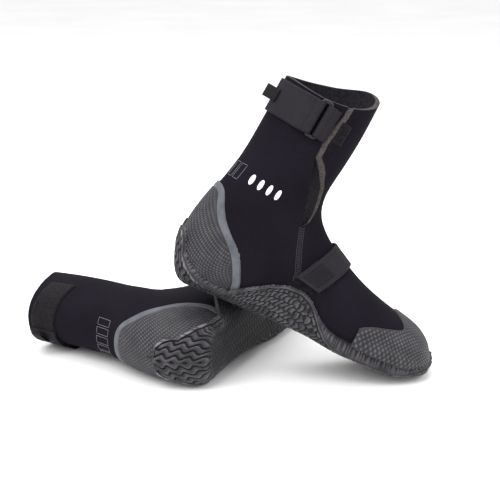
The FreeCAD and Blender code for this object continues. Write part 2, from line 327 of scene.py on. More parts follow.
class Builder:
    """Collects grids of points into one mesh."""

    def __init__(self, boot):
        self.boot = boot
        self.points = []
        self.faces = []
        self.uvs = []
        self.heights = []
        self.slots = []
        self.count = 0

    def grid(self, p, uv=None, slot=0, keep=None, flip=False, wrap=False, relief=None):
        """Adds a grid of points; keep leaves out faces with no point kept, wrap joins the last column on."""
        n, m = p.shape[:2]
        self.points.append(p.reshape(-1, 3))
        self.heights.append(np.zeros(n * m) if relief is None else relief.ravel())
        uv = np.zeros((n, m, 2)) if uv is None else uv
        self.uvs.append(uv.reshape(-1, 2))
        cols = m if wrap else m - 1
        i, j = np.meshgrid(np.arange(n - 1), np.arange(cols), indexing="ij")
        jn = (j + 1) % m
        quads = np.stack([i * m + j, (i + 1) * m + j, (i + 1) * m + jn, i * m + jn], -1)
        if keep is not None:
            following = (np.arange(cols) + 1) % m
            quads = quads[keep[:-1, :cols] | keep[1:, :cols] | keep[1:, following] | keep[:-1, following]]
        quads = quads.reshape(-1, 4)
        if flip != self.boot.mirror:
            quads = quads[:, ::-1]
        self.faces.append(quads + self.count)
        self.slots.append(np.full(len(quads), slot))
        self.count += n * m

    def make(self, name, materials):
        """Makes the mesh object, with nothing below the ground."""
        points = self.boot.world(np.vstack(self.points))
        points[:, 2] = np.maximum(points[:, 2], -0.0001)
        faces = np.vstack(self.faces)
        uvs = np.vstack(self.uvs)
        used, inverse = np.unique(faces, return_inverse=True)
        faces = inverse.reshape(faces.shape)
        points = points[used]
        uvs = uvs[used]
        mesh = bpy.data.meshes.new(name)
        mesh.from_pydata(points.tolist(), [], faces.tolist())
        layer = mesh.uv_layers.new(name="mm")
        layer.data.foreach_set("uv", uvs[faces].ravel())
        # The relief UV holds a height, 0 to 1, which the rubber materials paint as shade in the hollows and
        # as highlight on the high places.
        heights = np.concatenate(self.heights)[used][faces]
        layer = mesh.uv_layers.new(name="relief")
        layer.data.foreach_set("uv", np.stack([heights, np.full(heights.shape, 0.5)], -1).ravel())
        for material in materials:
            mesh.materials.append(material)
        mesh.polygons.foreach_set("material_index", np.concatenate(self.slots).astype(np.int32))
        mesh.polygons.foreach_set("use_smooth", np.full(len(faces), True))
        obj = bpy.data.objects.new(self.boot.side + "_" + name, mesh)
        bpy.context.scene.collection.objects.link(obj)
        clean(obj)
        return obj


def clean(obj):
    """Joins shared edges, drops faces with no area and turns the faces of closed pieces outward."""
    bm = bmesh.new()
    bm.from_mesh(obj.data)
    bmesh.ops.remove_doubles(bm, verts=bm.verts, dist=WELD)
    bmesh.ops.dissolve_degenerate(bm, edges=bm.edges, dist=WELD / 4)
    if not any(edge.is_boundary for edge in bm.edges):
        bmesh.ops.recalc_face_normals(bm, faces=bm.faces)
    bm.to_mesh(obj.data)
    bm.free()
    obj.data.update()


# ---- materials ----
def srgb(r, g, b):
    """Screen colour, 0 to 255, as linear colour."""
    linear = [((c / 255 + 0.055) / 1.055) ** 2.4 if c > 10 else c / 255 / 12.92 for c in (r, g, b)]
    return (*linear, 1.0)


class Nodes:
    """Short way to write a node material."""

    def __init__(self, name, rough, sheen=0.0, specular=0.5):
        self.mat = bpy.data.materials.new(name)
        self.mat.use_nodes = True
        self.tree = self.mat.node_tree
        self.shader = self.tree.nodes["Principled BSDF"]
        self.shader.inputs["Roughness"].default_value = rough
        self.shader.inputs["Sheen Weight"].default_value = sheen
        self.shader.inputs["Sheen Roughness"].default_value = 0.5
        self.shader.inputs["Specular IOR Level"].default_value = specular
        self.place = self.add("ShaderNodeTexCoord").outputs["Object"]

    def add(self, kind, **values):
        node = self.tree.nodes.new(kind)
        for key, value in values.items():
            if key in node.inputs:
                node.inputs[key].default_value = value
            else:
                setattr(node, key, value)
        return node

    def link(self, a, b):
        self.tree.links.new(a, b)

    def noise(self, scale, detail):
        node = self.add("ShaderNodeTexNoise", Scale=scale, Detail=detail)
        self.link(self.place, node.inputs["Vector"])
        return node.outputs["Fac"]

    def cells(self, scale):
        node = self.add("ShaderNodeTexVoronoi", Scale=scale)
        self.link(self.place, node.inputs["Vector"])
        return node.outputs["Distance"]

    def uv(self, name):
        """The two values of a UV map."""
        split = self.add("ShaderNodeSeparateXYZ")
        self.link(self.add("ShaderNodeUVMap", uv_map=name).outputs[0], split.inputs[0])
        return split.outputs[0], split.outputs[1]

    def math(self, operation, a, b=0.0):
        node = self.add("ShaderNodeMath", operation=operation)
        for socket, value in zip(node.inputs, (a, b)):
            if isinstance(value, (int, float)):
                socket.default_value = value
            else:
                self.link(value, socket)
        return node.outputs[0]

    def ramp(self, fac, stops):
        node = self.add("ShaderNodeValToRGB")
        for _ in range(len(stops) - 2):
            node.color_ramp.elements.new(0.5)
        for element, (place, colour) in zip(node.color_ramp.elements, stops):
            element.position = place
            element.color = colour
        self.link(fac, node.inputs["Fac"])
        return node.outputs["Color"]

    def colour(self, socket):
        self.link(socket, self.shader.inputs["Base Color"])

    def rough(self, fac, low, high):
        node = self.add("ShaderNodeMapRange")
        node.inputs["To Min"].default_value = low
        node.inputs["To Max"].default_value = high
        self.link(fac, node.inputs["Value"])
        self.link(node.outputs[0], self.shader.inputs["Roughness"])

    def bump(self, height, strength, distance):
        node = self.add("ShaderNodeBump", Strength=strength, Distance=distance)
        self.link(height, node.inputs["Height"])
        self.link(node.outputs["Normal"], self.shader.inputs["Normal"])


def neoprene_material():
    n = Nodes("neoprene_jersey", 0.85, specular=0.05)
    fine = n.noise(900, 2)
    broad = n.noise(14, 3)
    mix = n.math("ADD", n.math("MULTIPLY", fine, 0.45), n.math("MULTIPLY", broad, 0.55))
    n.colour(n.ramp(mix, [(0.35, srgb(14, 12, 17)), (0.68, srgb(24, 21, 29))]))
    n.rough(broad, 0.78, 0.92)
    n.bump(n.math("ADD", fine, n.math("MULTIPLY", n.noise(240, 2), 0.6)), 0.35, 0.0004)
    return n.mat


def foam_edge_material():
    n = Nodes("cut_foam_edge", 0.95, specular=0.1)
    n.colour(n.ramp(n.noise(500, 3), [(0.3, srgb(48, 45, 45)), (0.7, srgb(76, 71, 70))]))
    n.bump(n.cells(1500.0), 0.4, 0.0003)
    return n.mat


def lining_material():
    n = Nodes("inner_lining", 0.9, specular=0.08)
    n.colour(n.ramp(n.noise(300, 3), [(0.3, srgb(20, 19, 23)), (0.7, srgb(36, 34, 39))]))
    n.bump(n.noise(900, 2), 0.3, 0.0004)
    return n.mat


def rubber_material(name, dark, middle, light, rough_low, rough_high):
    """Moulded rubber: painted shade in its grooves and painted highlight on its high places, from the
    relief's height, 0 to 1.
    """
    n = Nodes(name, rough_low, specular=0.25)
    broad = n.noise(70, 5)
    fine = n.noise(700, 3)
    height, _ = n.uv("relief")
    cloud = n.math("ADD", n.math("MULTIPLY", broad, 0.5), n.math("MULTIPLY", fine, 0.25))
    mix = n.math("ADD", n.math("MULTIPLY", height, 0.8), n.math("SUBTRACT", cloud, 0.375))
    # The dark stop is painted shade in the hollows and the light stop is painted highlight on the high
    # places; the noise cloud is the rubber's own uneven tone.
    n.colour(n.ramp(mix, [(0.08, dark), (0.5, middle), (0.92, light)]))
    n.rough(broad, rough_low, rough_high)
    n.bump(fine, 0.25, 0.0003)
    return n.mat


def trim_material():
    n = Nodes("grey_trim", 0.55, specular=0.2)
    n.colour(n.ramp(n.noise(90, 4), [(0.3, srgb(70, 72, 77)), (0.7, srgb(88, 91, 96))]))
    n.bump(n.noise(600, 2), 0.12, 0.0003)
    return n.mat


def webbing_material(name, dark, light):
    """Ribbed webbing: warp ribs across the strap's width, picks along it, from the mm coordinates."""
    n = Nodes(name, 0.75, specular=0.12)
    run, side = n.uv("mm")
    turn = 2 * math.pi / 1.5
    along = n.math("SINE", n.math("MULTIPLY", run, turn))
    across = n.math("SINE", n.math("MULTIPLY", side, turn * 1.3))
    weave = n.math("MULTIPLY", along, across)
    ribs = n.math("ADD", n.math("MULTIPLY", across, 0.5), n.math("MULTIPLY", weave, 0.5))
    worn = n.math("ADD", n.math("MULTIPLY", n.noise(40, 3), 0.2), n.math("MULTIPLY", n.noise(1100, 2), 0.6))
    fac = n.math("ADD", n.math("MULTIPLY", ribs, 0.42), worn)
    n.colour(n.ramp(fac, [(0.1, dark), (0.75, light)]))
    n.bump(fac, 0.6, 0.0005)
    return n.mat


def fuzzy_material(name, dark, light):
    n = Nodes(name, 1.0, sheen=0.05, specular=0.05)
    n.colour(n.ramp(n.noise(420, 4), [(0.35, dark), (0.7, light)]))
    n.bump(n.cells(1300.0), 0.9, 0.0009)
    return n.mat


def gloss_plastic_material():
    n = Nodes("ring_plastic", 0.24, specular=0.3)
    n.colour(n.ramp(n.noise(120, 3), [(0.3, srgb(10, 10, 11)), (0.7, srgb(20, 20, 22))]))
    n.rough(n.noise(200, 3), 0.16, 0.32)
    n.bump(n.noise(500, 2), 0.06, 0.0002)
    return n.mat


def print_material(name, base):
    n = Nodes(name, 0.6, specular=0.3)
    light = tuple(min(1.0, c * 1.15) for c in base[:3]) + (1.0,)
    n.colour(n.ramp(n.noise(500, 3), [(0.35, base), (0.75, light)]))
    n.bump(n.noise(900, 2), 0.2, 0.0003)
    return n.mat


MAT = {
    "neoprene": neoprene_material(), "edge": foam_edge_material(), "lining": lining_material(),
    # Sole and cap colours: dark is painted shade in the grooves, middle is the rubber's own tone, light is
    # painted highlight on the ribs and diamonds.
    "sole": rubber_material("sole_rubber", srgb(4, 4, 5), srgb(36, 35, 39), srgb(108, 104, 109), 0.5, 0.72),
    "cap": rubber_material("cap_rubber", srgb(16, 15, 18), srgb(48, 47, 51), srgb(92, 90, 96), 0.4, 0.6),
    "trim": trim_material(),
    "webbing": webbing_material("webbing", srgb(10, 9, 12), srgb(44, 41, 47)),
    "dark_webbing": webbing_material("dark_webbing", srgb(10, 8, 11), srgb(32, 27, 33)),
    "loop": fuzzy_material("loop_pile", srgb(10, 9, 11), srgb(29, 26, 31)),
    "hook": fuzzy_material("hook_face", srgb(20, 20, 22), srgb(44, 43, 47)),
    "ring": gloss_plastic_material(),
    "gusset": fuzzy_material("gusset_fabric", srgb(12, 11, 14), srgb(26, 24, 29)),
    "thread": print_material("thread", srgb(46, 44, 48)),
    "dark_thread": print_material("dark_thread", srgb(16, 15, 18)),
    "white_print": print_material("white_print", srgb(205, 205, 208)),
    "grey_print": print_material("grey_print", srgb(92, 92, 98)),
    "board": fuzzy_material("footbed", srgb(34, 33, 37), srgb(60, 58, 63)),
}


# ---- pieces that follow the form ----
def fit_piece(obj, boot, body, nodes=(), bend=False):
    """Hands a piece to its body, or leaves it free with its placement baked into its points, and hides the
    CAD parts that it stands for.
    """
    if bend:
        start = tuple(boot.world(BEND_FROM))
        end = tuple(boot.world(BEND_TO))
        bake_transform(obj)
    else:
        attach(obj, boot.side + "_" + body)
    if nodes:
        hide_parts(*[boot.side + "_" + node for node in nodes])


def sides(top, bottom):
    """Four edges of two facing grids: top line, bottom line, way out, and whether its faces are flipped."""
    yield top[-1], bottom[-1], top[-1] - top[-2], False
    yield top[0], bottom[0], top[0] - top[1], True
    yield top[:, 0], bottom[:, 0], top[:, 0] - top[:, 1], False
    yield top[:, -1], bottom[:, -1], top[:, -1] - top[:, -2], True


def panel(boot, name, u, v_low, v_high, columns, nodes, lift=None, bevel=0.0):
    """A closed neoprene panel between two lines over the form, with rounded cut edges."""
    share = spread(0, 1, columns)[None, :]
    uu = np.repeat(u[:, None], columns, 1)
    vv = v_low[:, None] + (v_high - v_low)[:, None] * share
    rise = lift(uu, share)[..., None] if lift else 0.0
    slant = bevel * (0.3 * smooth(u, 0.64, 0.72) + 0.7 * smooth(u, 0.80, 0.86))
    cut = vv - slant[:, None] * smooth(share, 0.3, 1.0)
    normal = boot.normal(uu, vv)
    outer = boot.surf(uu, cut) + normal * rise
    inner = boot.surf(uu, vv, -NEOPRENE) + normal * rise
    b = Builder(boot)
    b.grid(outer, slot=0)
    b.grid(inner, slot=2, flip=True)
    steps = spread(0, 1, 6)[:, None, None]
    bulge = np.sin(np.pi * steps) * 0.55
    for a, c, away, flip in sides(outer, inner):
        b.grid(a[None] * (1 - steps) + c[None] * steps + unit(away)[None] * bulge, slot=1, flip=flip)
    obj = b.make(name, [MAT["neoprene"], MAT["edge"], MAT["lining"]])
    fit_piece(obj, boot, "foot", nodes, bend=True)


def upper(boot):
    """Rear and front neoprene panels with the side slit between them."""
    seam_line = FOOT_SEAM + SLIT_REAR + FLAP_EDGE
    flap_line = FOOT_SEAM + SLIT_FRONT + FLAP_EDGE
    u_rear = np.unique(np.concatenate([spread(OVER_FOOT, 0.66, 90), spread(0.66, 1.0, 150)]))
    outer_rear = boot.line_v(seam_line, u_rear)
    inner_side = boot.line_v(seam_line, u_rear, outer=False)
    panel(boot, "rear_panel", u_rear, outer_rear, 2 * np.pi + inner_side, 150,
          ["quarter_panel", "shaft_rear_panel"])
    u_front = np.unique(np.concatenate([spread(0.0, 0.1, 30), spread(0.1, OVER_FOOT, 110), u_rear]))
    v_in = boot.line_v(seam_line, u_front, outer=False)
    v_out = boot.line_v(flap_line, u_front)
    forefoot = u_front < OVER_FOOT
    v_in[forefoot] = -np.pi / 2
    v_out[forefoot] = 3 * np.pi / 2

    def flap_lift(uu, share):
        """The flap's cut edge stands off the shaft, most at the cuff."""
        at_cuff = 3.0 * smooth(uu, 0.74, 0.9)
        at_slit = smooth(uu, 0.62, 0.7) * (1 - smooth(uu, 0.8, 0.9))
        return smooth(share, 0.55, 1.0) * (at_cuff + at_slit)

    panel(boot, "front_panel", u_front, v_in, v_out, 116, ["vamp_panel", "shaft_front_panel"],
          flap_lift, 0.105)
    gusset(boot, seam_line, flap_line)


def gusset(boot, seam_line, flap_line):
    """Thin stretch fabric behind the open part of the side slit."""
    u = spread(0.62, 0.9, 60)
    rear = boot.line_v(seam_line, u) + 0.16
    front = boot.line_v(flap_line, u) - 0.16
    share = spread(0, 1, 24)[None, :]
    uu = np.repeat(u[:, None], 24, 1)
    vv = front[:, None] + (rear - front)[:, None] * share
    fold = boot.normal(uu, vv) * 0.5 * np.sin(share * 9)[..., None]
    b = Builder(boot)
    b.grid(boot.surf(uu, vv, -2.2) + fold)
    b.grid(boot.surf(uu, vv, -3.4) + fold, flip=True)
    obj = b.make("slit_gusset_fabric", [MAT["gusset"]])
    fit_piece(obj, boot, "shaft", ["slit_gusset"], bend=True)


def skin_layer(boot, name, u, v, height, material, sink=0.6):
    """A layer lying on the form, without what is under the skin.

    height gives its thickness at each point, and how much of that is bumps."""
    uu, vv = np.meshgrid(u, v, indexing="ij")
    p = boot.surf(uu, vv)
    h, bumps = height(p)
    b = Builder(boot)
    # The relief from the bumps colours the cap: painted shade in the valleys, painted highlight on the
    # diamond tops.
    b.grid(p + boot.normal(uu, vv) * h[..., None], keep=h > -sink, relief=0.4 + 0.9 * bumps)
    return b.make(name, [MAT[material]])


def profile(dist, thick, ease=1.4):
    """Thickness near an edge: rounded up from under the skin."""
    t = np.clip(dist / ease, -1, 1)
    return np.where(t > 0, thick * np.sqrt(np.clip(1 - (1 - t) ** 2, 0, 1)), t * 1.2)


def diamonds(boot, u, v, column, row):
    """Staggered rows of rounded diamonds, evenly spaced along one column and one row of the patch."""
    a = arc(boot.surf(u, np.full_like(u, column)))
    b = arc(boot.surf(np.full_like(v, row), v))
    b = b - np.interp(np.pi / 2 if row < 0.4 else 1.5 * np.pi, v, b)
    wave = np.cos(2 * np.pi * a / 5.2)[:, None] * np.cos(2 * np.pi * b / 4.4)[None, :]
    return np.sqrt(np.clip(wave, 0, 1)) - 0.12


def caps(boot):
    """Rubber toe and heel caps with a moulded diamond texture, and the grey strip."""
    toe_u = np.concatenate([spread(0.0, 0.05, 50), spread(0.05, 0.31, 170)[1:]])
    toe_v = spread(-0.5, np.pi + 0.5, 300)

    def toe_height(p):
        x = p[..., 0]
        d = on_skin(inside_distance(TOE_CAP, p), p)
        bumps = 0.7 * diamonds(boot, toe_u, toe_v, np.pi / 2, 0.15) * smooth(d, 1.0, 2.6)
        along = smooth(x, 180, 205) * (1 - 0.65 * smooth(x, 250, 276))
        flare = TOE_FLARE * (1 - smooth(p[..., 2] - height_at(SOLE_TOP, x), -1.0, 13.0)) * along
        return profile(d, CAP) + bumps + flare * smooth(d, -0.5, 2.0), bumps

    toe = skin_layer(boot, "toe_cap_rubber", toe_u, toe_v, toe_height, "cap")
    fit_piece(toe, boot, "foot", ["toe_cap"])
    heel_u = spread(0.55, 0.84, 240)
    heel_v = spread(2.35, 2 * np.pi + 0.79, 330)

    def heel_height(p):
        d = on_skin(inside_distance(TRIM_BACK, p), p)
        bumps = 0.7 * diamonds(boot, heel_u, heel_v, np.pi + 0.6, 0.70) * smooth(d, 0.6, 2.0)
        return profile(d, CAP) + bumps, bumps

    def trim_height(p):
        behind = on_skin(inside_distance(TRIM_FRONT, p), p)
        ahead = on_skin(-inside_distance(TRIM_BACK, p), p) + 0.8
        d = np.minimum(behind, ahead)
        return profile(d, TRIM, 1.8), 0 * d

    heel = skin_layer(boot, "heel_cap_rubber", heel_u, heel_v, heel_height, "cap")
    fit_piece(heel, boot, "foot", ["heel_cap"])
    trim = skin_layer(boot, "heel_trim_strip", heel_u, heel_v, trim_height, "trim")
    fit_piece(trim, boot, "foot", ["heel_trim"])


def even(values, count, p):
    """The values spaced evenly along the points p that belong to them."""
    length = arc(p)
    return np.interp(spread(0, length[-1], count), length, values)


def fine_wave(x, pitch):
    """A triangle wave between -1 and 1."""
    return 2 / np.pi * np.arcsin(np.sin(2 * np.pi * x / pitch))


def ridge(saw, groove):
    """A rib across one pitch: steep on one flank, sloping on the other, with a groove between ribs."""
    return smooth(saw, 0.0, groove) * (1 - smooth(saw, 1 - groove * 1.2, 1.0)) * (0.62 + 0.38 * saw)


def sole(boot):
    """Cup sole: smooth lip, cross-cut sidewall and wavy tread, as one skin tucked under the neoprene."""
    u0 = spread(0, 0.722, 900)
    behind = boot.surf(u0, np.full_like(u0, 1.5 * np.pi))
    beside = boot.surf(u0, np.full_like(u0, np.pi + 0.5))
    u = even(u0, 560, 0.5 * (behind + beside))
    top = boot.line_v(SOLE_TOP, u)
    top_in = boot.line_v(SOLE_TOP, u, outer=False)
    columns = 291
    up_heel = np.clip((u - 0.655) / (0.722 - 0.655), 0, 1)
    round_off = np.maximum(np.sqrt(1 - up_heel ** 2.4), 0.04)
    top = 1.5 * np.pi - (1.5 * np.pi - top) * round_off
    top_in = (top_in + np.pi / 2) * round_off - np.pi / 2
    vv = np.zeros((len(u), columns))
    for i, ui in enumerate(u):
        v0 = spread(top[i], 2 * np.pi + top_in[i], 400)
        vv[i] = even(v0, columns, boot.surf(np.full_like(v0, ui), v0, FOXING, SOLE_UNDER))
    uu = np.repeat(u[:, None], columns, 1)
    p = boot.surf(uu, vv, FOXING, SOLE_UNDER)
    x = p[..., 0]
    floor = height_at(SOLE_BOTTOM, x)
    gap = p[..., 2] - floor
    soft = 1.2
    drop = BALL_DROP * smooth(x, 140, 195) * (1 - smooth(x, 246, 276))
    p[..., 2] = floor + soft * np.logaddexp(0, gap / soft)
    p[..., 2] -= drop
    across = np.cumsum(np.linalg.norm(np.diff(p, axis=1, prepend=p[:, :1]), axis=-1), 1)
    up = np.cumsum(np.linalg.norm(np.diff(p[::-1], axis=0, prepend=p[-1:]), axis=-1), 0)[::-1]
    edge = np.minimum(np.minimum(across, across[:, -1:] - across), up)
    relief = sole_relief(p, edge, gap)
    n = unit(np.cross(np.gradient(p, axis=0), np.gradient(p, axis=1)))
    depth = 1.9 + 0.9 * smooth(-x, -30, -5) + 0.5 * smooth(x, 180, 230)
    out = p + n * (depth * (relief - 0.5) + 0.4 + 1.2 * smooth(x, 215, 270))[..., None]
    out[..., 2] = np.maximum(out[..., 2], floor - drop - 0.15)
    tucked = boot.surf(uu, vv, -0.6)
    parts = (("sole_outer_side", 0, 97), ("sole_tread", 97, 194), ("sole_inner_side", 194, 290))
    for name, first, last in parts:
        b = Builder(boot)
        cut = slice(first, last + 1)
        # relief also sets the colour: painted shade in the grooves and under the lip, painted highlight on
        # the ribs and the lip.
        b.grid(out[:, cut], relief=relief[:, cut])
        for line, under, flip in ((0, first == 0, False), (-1, last == columns - 1, True)):
            if under:
                bead(b, out[:, line], tucked[:, line], flip)
        bead(b, out[-1, cut], tucked[-1, cut], False)
        obj = b.make(name, [MAT["sole"]])
        fit_piece(obj, boot, "foot", ["outsole"])


def bead(builder, edge, root, flip):
    """Lumpy round bead along the top of the sole, from its edge to the upper."""
    steps = spread(0, 1, 11)[:, None]
    length = arc(edge)
    lumps = 0.5 + 0.5 * np.sin(2 * np.pi * length / 4.3 + 1.7 * np.sin(length * 0.4))
    swell = np.sin(np.pi * np.sqrt(steps)) * (0.8 + 0.7 * lumps)
    up = np.array([0.0, 0.0, 1.0])
    strip = edge[None] * (1 - steps[..., None]) + root[None] * steps[..., None] + up * swell[..., None]
    # Its relief colours the bead: painted highlight along the lumpy crest, painted shade towards the upper
    # where it tucks in.
    builder.grid(strip, flip=flip, relief=0.66 + 0.34 * lumps * np.sin(np.pi * steps) - 0.3 * steps)


def sole_relief(p, edge, gap):
    """Height of the moulded pattern, 0 in the grooves to 1 on the ribs; it also sets the sole's colour as
    painted shade in the grooves and painted highlight on the ribs and lip.
    """
    x = p[..., 0]
    y = p[..., 1]
    z = p[..., 2]
    heel = 52 - 44 * np.arctan2(52 - x, np.abs(y) + 3)
    toe = 235 + 52 * np.arctan2(x - 235, np.abs(y - 6) + 3)
    run = np.where(x < 52, heel, np.where(x > 235, toe, x))
    back = smooth(-x, -40, -14)
    front = smooth(x, 165, 205)
    tall = 1 - back - front
    wavy = edge + 0.9 * np.sin(2 * np.pi * run / 12.0) * tall
    row_height = 8.6
    row = np.floor(wavy / row_height)
    lean = 0.5 * tall * wavy + 2.6 * np.mod(row, 2) * tall
    sway = (1 - front) * (0.9 + 0.6 * back) * np.sin(2 * np.pi * z / (9.5 + 4 * back) + 0.35 * run * back)
    phase = (run + lean + sway) / 5.3 + 0.0003 * np.maximum(run - 150, 0) ** 2
    saw = phase - np.floor(phase)
    between = np.abs(np.mod(wavy, row_height) - row_height / 2)
    rows = 1 - tall * (1 - smooth(row_height / 2 - between, 0.1, 1.0)) * 0.7
    side = ridge(saw, 0.2) * rows
    tread_phase = (x + 1.9 * fine_wave(y, 9.5)) / 5.8
    tread_saw = tread_phase - np.floor(tread_phase)
    lines = np.min([np.abs(y - line) for line in (-16.0, 2.0, 20.0)], 0)
    tread = ridge(tread_saw, 0.2) * (0.45 + 0.55 * smooth(lines, 0.3, 0.9))
    on_floor = 1 - smooth(gap, -1.0, 3.0)
    body = 0.85 * side * (1 - on_floor) + 0.6 * tread * on_floor
    lumps = 0.5 + 0.5 * np.sin(2 * np.pi * run / 4.3 + 1.7 * np.sin(run * 0.9))
    lip = 0.72 + (0.4 * lumps - 0.05) * (back + front)
    width = 3.2 * tall + 3.6 * back + 1.7 * front
    lip_zone = 1 - smooth(edge - width, -0.5, 0.5)
    under_lip = 1 - smooth(np.abs(edge - width - 0.4), 0.3, 1.0)
    groove = 1 - 0.8 * under_lip * (1 - on_floor) * (1 - 0.6 * front)
    return (body * (1 - lip_zone) + lip * lip_zone) * groove * smooth(edge, -0.4, 0.8)


# ---- straps and small parts ----
def slab(boot, name, top, bottom, run, widths, material):
    """A closed thin strip between two grids of points, with pillowed sides.

    run and widths are the distances along and across it, for its weave."""
    uv = np.stack(np.meshgrid(run, widths, indexing="ij"), -1)
    b = Builder(boot)
    b.grid(top, uv)
    b.grid(bottom, uv, flip=True)
    steps = spread(0, 1, 5)[:, None, None]
    bulge = np.sin(np.pi * steps) * 0.35
    for a, c, away, flip in sides(top, bottom):
        b.grid(a[None] * (1 - steps) + c[None] * steps + unit(away)[None] * bulge, flip=flip)
    return b.make(name, [MAT[material]])


def band_points(boot, v, widths, band, off):
    """Points off the form for each angle v and each place across a band.

    A band is its side-view direction across, and where its middle is along that."""
    direction, centre = band
    out = np.zeros((len(v), len(widths), 3))
    for j, w in enumerate(widths):
        u = boot.solve_u(v, direction, np.full(len(v), centre + w))
        p = boot.surf(u, v)
        out[:, j] = p + boot.normal(u, v) * np.reshape(off, (-1, 1))
    return out


def cuff_band():
    """Side-view direction across the cuff band, and the band's middle along it."""
    d = unit(np.array([BAND_BACK[1] - BAND_FRONT[1], 0, BAND_FRONT[0] - BAND_BACK[0]]))
    return d, d @ np.array([BAND_FRONT[0], 0, BAND_FRONT[1]])


def v_at_z(boot, z, band, low, high):
    """Angle on a band's middle where the form has this height."""
    v = spread(low, high, 120)
    p = band_points(boot, v, [0.0], band, 0.0)[:, 0]
    order = np.argsort(p[:, 2])
    return float(np.interp(z, p[order, 2], v[order]))


def v_at_x(boot, x, outer=True):
    """Angle on the cuff band's middle where the form has this x, behind the widest line."""
    v = spread(2.0, 1.5 * np.pi, 160) if outer else spread(1.5 * np.pi, 2 * np.pi + 1.0, 160)
    p = band_points(boot, v, [0.0], cuff_band(), 0.0)[:, 0]
    order = np.argsort(p[:, 0])
    return float(np.interp(x, p[order, 0], v[order]))


def ribbon(boot, name, v, widths, band, low, high, material, node, body):
    """A strip over the form between two levels, along the angles v of a band; gives its outer points."""
    top = band_points(boot, v, widths, band, high)
    bottom = band_points(boot, v, widths, band, low)
    obj = slab(boot, name, top, bottom, arc(top[:, len(widths) // 2]), widths, material)
    fit_piece(obj, boot, body, [node] if node else [])
    return top


def tube(boot, name, paths, radius, material, corners=6):
    """Round threads along several point lists."""
    b = Builder(boot)
    for path in paths:
        t = unit(np.gradient(path, axis=0))
        side = unit(np.cross(t, THREAD_ASIDE))[:, None]
        up = np.cross(t, side[:, 0])[:, None]
        ang = (np.arange(corners) * 2 * np.pi / corners)[None, :, None]
        r = np.full(len(path), radius)
        r[0] = r[-1] = radius * 0.25
        ring_points = (side * np.cos(ang) + up * np.sin(ang)) * r[:, None, None]
        b.grid(path[:, None] + ring_points, wrap=True, flip=True)
    return b.make(name, [MAT[material]])


def stitches(points, normals):
    """Short raised threads along a line of points."""
    pitch = 2.6
    rise = 0.35 * np.sin(np.pi * spread(0, 1, 5))[:, None]
    length = arc(points)
    out = []
    for k in range(int(length[-1] / pitch)):
        s = k * pitch + spread(0, 1.9, 5)
        out.append(walk(points, length, s) + walk(normals, length, s) * rise)
    return out


def border(top, normals):
    """Stitches round a patch, just inside its edge."""
    return stitches(top[:, 1], normals[:, 1]) + stitches(top[:, -2], normals[:, -2]) + \
        stitches(top[1], normals[1]) + stitches(top[-2], normals[-2])


def outward(points):
    """Outward direction of a grid of points along a band."""
    return unit(np.cross(np.gradient(points, axis=1), np.gradient(points, axis=0)))


def cuff(boot):
    """Loop band, sewn end, free strap, ring, tether, patch and pull tab."""
    band = cuff_band()
    half = CUFF_WIDTH / 2
    v_ring = v_at_x(boot, 66.0)
    v_sewn = v_at_x(boot, 44.0)
    v_back = 1.5 * np.pi
    v_far = v_at_x(boot, 66.0, outer=False)
    wide = spread(-half, half, 15)
    narrow = spread(-half + 1.5, half - 1.5, 13)
    ribbon(boot, "cuff_loop_band", spread(v_sewn + 0.04, v_far, 70), narrow, band, -0.3, 1.9, "loop",
           "cuff_loop_pad", "shaft")
    ribbon(boot, "cuff_sewn_webbing", spread(v_ring, v_sewn, 26), wide, band, 0.05, 0.1 + WEBBING, "webbing",
           "cuff_strap_sewn_end", "shaft")
    v = spread(v_at_x(boot, 62.5), v_back - 0.12, 56)
    level = STRAP_LEVEL + 3.7 * smooth(-v, -v[16], -v[0])
    top = ribbon(boot, "cuff_strap_webbing", v, wide, band, level, level + WEBBING, "webbing", "cuff_strap",
                 "cuff_strap")
    n = outward(top)
    lines = stitches(top[:, 1], n[:, 1]) + stitches(top[:, -2], n[:, -2]) + stitches(top[-4], n[-4])
    thread = tube(boot, "cuff_strap_stitches", lines, 0.28, "dark_thread")
    fit_piece(thread, boot, "cuff_strap")
    v_hook = spread(v_at_x(boot, 40.0), v_back - 0.16, 30)
    ribbon(boot, "cuff_hook_strip", v_hook, spread(-half + 3, half - 3, 11), band, 1.95, STRAP_LEVEL + 0.02,
           "hook", "cuff_hook_pad", "cuff_strap")
    bar_fold(boot, "cuff_strap_turn", top[0] - n[0] * (WEBBING / 2), 1, 10.0, wide)
    ring(boot)
    tether(boot, wide)
    pull_tab(boot, top, n)
    flap_patch(boot)


def bar_fold(boot, name, start, way, tail, wide):
    """Webbing that runs from the points start over a ring bar, round it and back under it.

    way is 1 for the rear bar, whose bend faces forward, and -1 for the front bar, whose bend faces back."""
    d, _ = cuff_band()
    forward = np.cross(Y, d) * way
    up = -Y
    bar = np.array(RING_AT) - forward * (RING_SIZE[0] / 2 - RING_BAR)
    axis = bar + d * (wide * TURN_SHARE)[:, None]
    reach = RING_BAR + 1.15
    rows = [start]
    outs = [up]
    for angle in spread(90, -90, 17):
        t = math.radians(angle)
        outs.append(forward * math.cos(t) + up * math.sin(t))
        rows.append(axis + outs[-1] * reach)
    for step in spread(0.3, 1.0, 4):
        outs.append(-up)
        rows.append(axis - up * (reach - 0.3 * step) - forward * tail * step)
    middle = np.array(rows)
    out = np.array(outs)[:, None] * (WEBBING / 2)
    obj = slab(boot, name, middle + out, middle - out, arc(middle[:, len(wide) // 2]), wide, "webbing")
    fit_piece(obj, boot, "shaft")


def rounded_loop(width, height, corner):
    """A rectangle with round corners, as points in a plane."""
    out = []
    for cx, cy, start in ((1, 1, 0), (-1, 1, 90), (-1, -1, 180), (1, -1, 270)):
        for angle in spread(0, 90, 8):
            t = math.radians(start + angle)
            out.append((cx * (width / 2 - corner) + corner * math.cos(t),
                        cy * (height / 2 - corner) + corner * math.sin(t)))
    return np.array(out)


